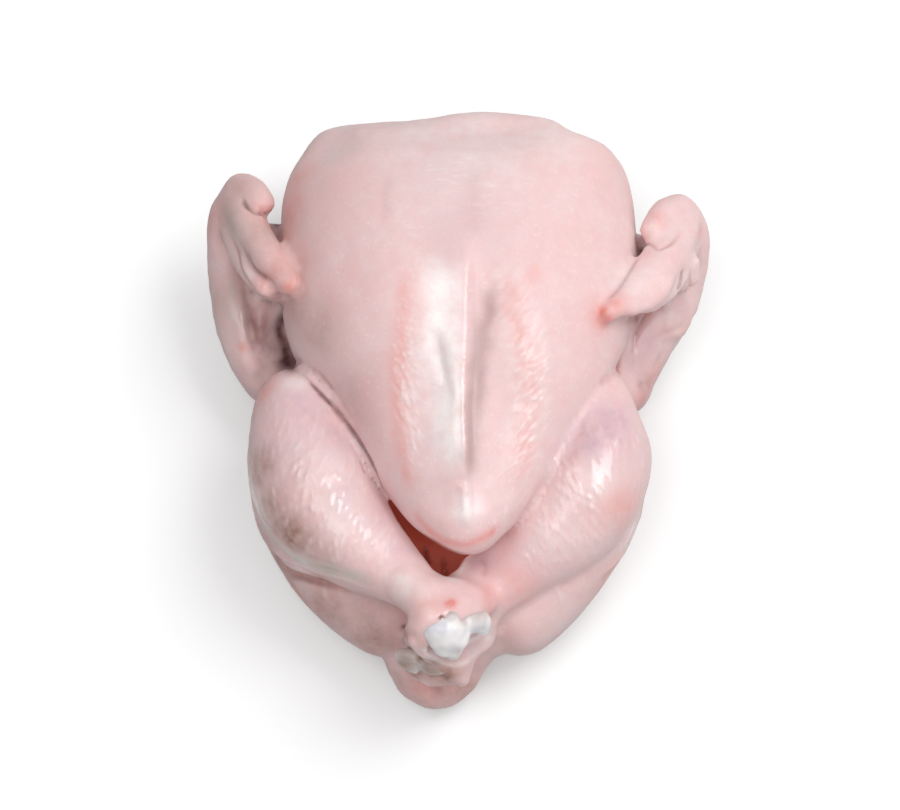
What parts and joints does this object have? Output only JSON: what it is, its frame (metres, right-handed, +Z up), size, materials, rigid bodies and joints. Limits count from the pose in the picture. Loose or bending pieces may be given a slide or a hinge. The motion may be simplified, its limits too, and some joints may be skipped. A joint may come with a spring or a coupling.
{
  "type": "whole raw chicken",
  "caption": "Plucked and drawn raw chicken lying on its back, with folded wings, crossed legs and an open body cavity.",
  "frame": {"origin": "on the surface that the bird lies on, under the middle of its bounding box", "axes": "+Z up, +Y from tail to neck, +X to the right when the bird is seen from above with its neck at the top"},
  "size_m": [0.2072, 0.2376, 0.1016],
  "materials": {
    "skin": "moist raw poultry skin, pale pink, with soft gloss and fine feather follicles",
    "cartilage": "wet bluish-white joint cartilage"
  },
  "bodies": {
    "root": {"chicken": "skin", "left_shank_bone": "cartilage", "right_shank_bone": "cartilage"}
  },
  "joints": []
}
